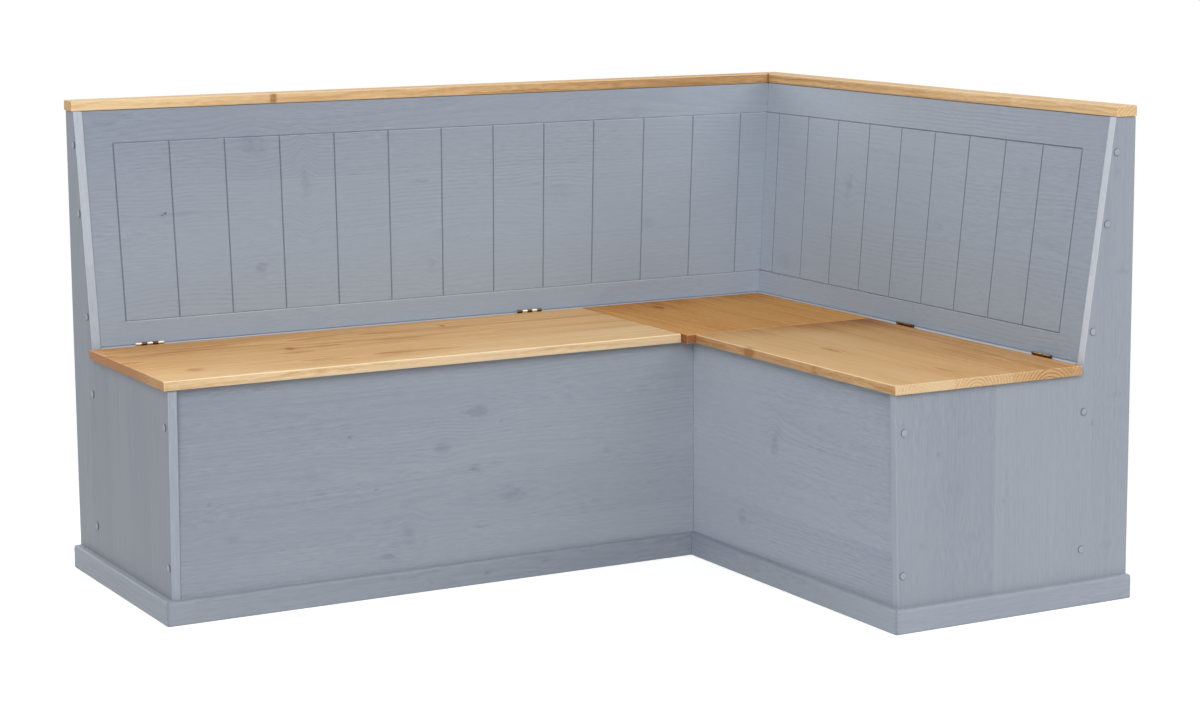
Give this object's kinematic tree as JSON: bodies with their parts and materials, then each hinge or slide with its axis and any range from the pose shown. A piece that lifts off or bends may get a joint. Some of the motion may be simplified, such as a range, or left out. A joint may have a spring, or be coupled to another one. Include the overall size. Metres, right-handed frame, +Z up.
{
  "type": "corner storage bench",
  "caption": "L-shaped corner bench for a room's corner: two chests with hinged seat lids meet at a fixed corner seat under leaning matchboard backrests with cap rails.",
  "frame": {"origin": "on the floor, under the middle of the bench's bounding box", "axes": "+X from the long wing's end towards the room's corner, +Y from the short wing's end towards the corner, so the walls stand at +X and +Y; +Z up"},
  "size_m": [1.628, 1.244, 0.92],
  "materials": {
    "painted_wood": "satin blue-grey paint over planed pine boards",
    "oiled_pine": "honey oiled knotty pine, satin",
    "raw_pine": "unfinished planed pine",
    "hinge_steel": "brass-toned plated steel"
  },
  "bodies": {
    "carcass": {"end_panel_left": "painted_wood", "backrest_long": "painted_wood", "cap_rail_long": "oiled_pine", "rear_wall_long": "painted_wood", "front_panel_long": "painted_wood", "partition_long": "raw_pine", "floor_cleat_rear_long": "raw_pine", "floor_cleat_front_long": "raw_pine", "lid_rest_cleat_long": "raw_pine", "corner_seat_cleat_long": "raw_pine", "chest_floor_long": "raw_pine", "plinth_front_long": "painted_wood", "plinth_left": "painted_wood", "hinge_wall_leaf_long_1": "hinge_steel", "hinge_pin_long_1": "hinge_steel", "hinge_wall_leaf_long_2": "hinge_steel", "hinge_pin_long_2": "hinge_steel", "screw_cap_left_1": "painted_wood", "screw_cap_left_2": "painted_wood", "screw_cap_left_3": "painted_wood", "screw_cap_left_4": "painted_wood", "screw_cap_left_5": "painted_wood", "screw_cap_left_6": "painted_wood", "screw_cap_left_7": "painted_wood", "end_panel_right": "painted_wood", "backrest_short": "painted_wood", "cap_rail_short": "oiled_pine", "rear_wall_short": "painted_wood", "front_panel_short": "painted_wood", "partition_short": "raw_pine", "floor_cleat_rear_short": "raw_pine", "floor_cleat_front_short": "raw_pine", "lid_rest_cleat_short": "raw_pine", "corner_seat_cleat_short": "raw_pine", "chest_floor_short": "raw_pine", "plinth_front_short": "painted_wood", "plinth_right": "painted_wood", "hinge_wall_leaf_short_1": "hinge_steel", "hinge_pin_short_1": "hinge_steel", "hinge_wall_leaf_short_2": "hinge_steel", "hinge_pin_short_2": "hinge_steel", "screw_cap_right_1": "painted_wood", "screw_cap_right_2": "painted_wood", "screw_cap_right_3": "painted_wood", "screw_cap_right_4": "painted_wood", "screw_cap_right_5": "painted_wood", "screw_cap_right_6": "painted_wood", "screw_cap_right_7": "painted_wood", "corner_seat": "oiled_pine"},
    "lid_long": {"seat_lid_long": "oiled_pine", "lid_batten_long_1": "raw_pine", "lid_batten_long_2": "raw_pine", "hinge_lid_leaf_long_1": "hinge_steel", "hinge_lid_leaf_long_2": "hinge_steel"},
    "lid_short": {"seat_lid_short": "oiled_pine", "lid_batten_short_1": "raw_pine", "lid_batten_short_2": "raw_pine", "hinge_lid_leaf_short_1": "hinge_steel", "hinge_lid_leaf_short_2": "hinge_steel"}
  },
  "joints": [
    {"name": "lid_long_hinge", "type": "hinge", "parent": "carcass", "child": "lid_long", "pos_m": [-0.27475, 0.5035, 0.453], "axis": [-1, 0, 0], "range_deg": [0, 98]},
    {"name": "lid_short_hinge", "type": "hinge", "parent": "carcass", "child": "lid_short", "pos_m": [0.6955, -0.27475, 0.453], "axis": [0, 1, 0], "range_deg": [0, 98]}
  ]
}
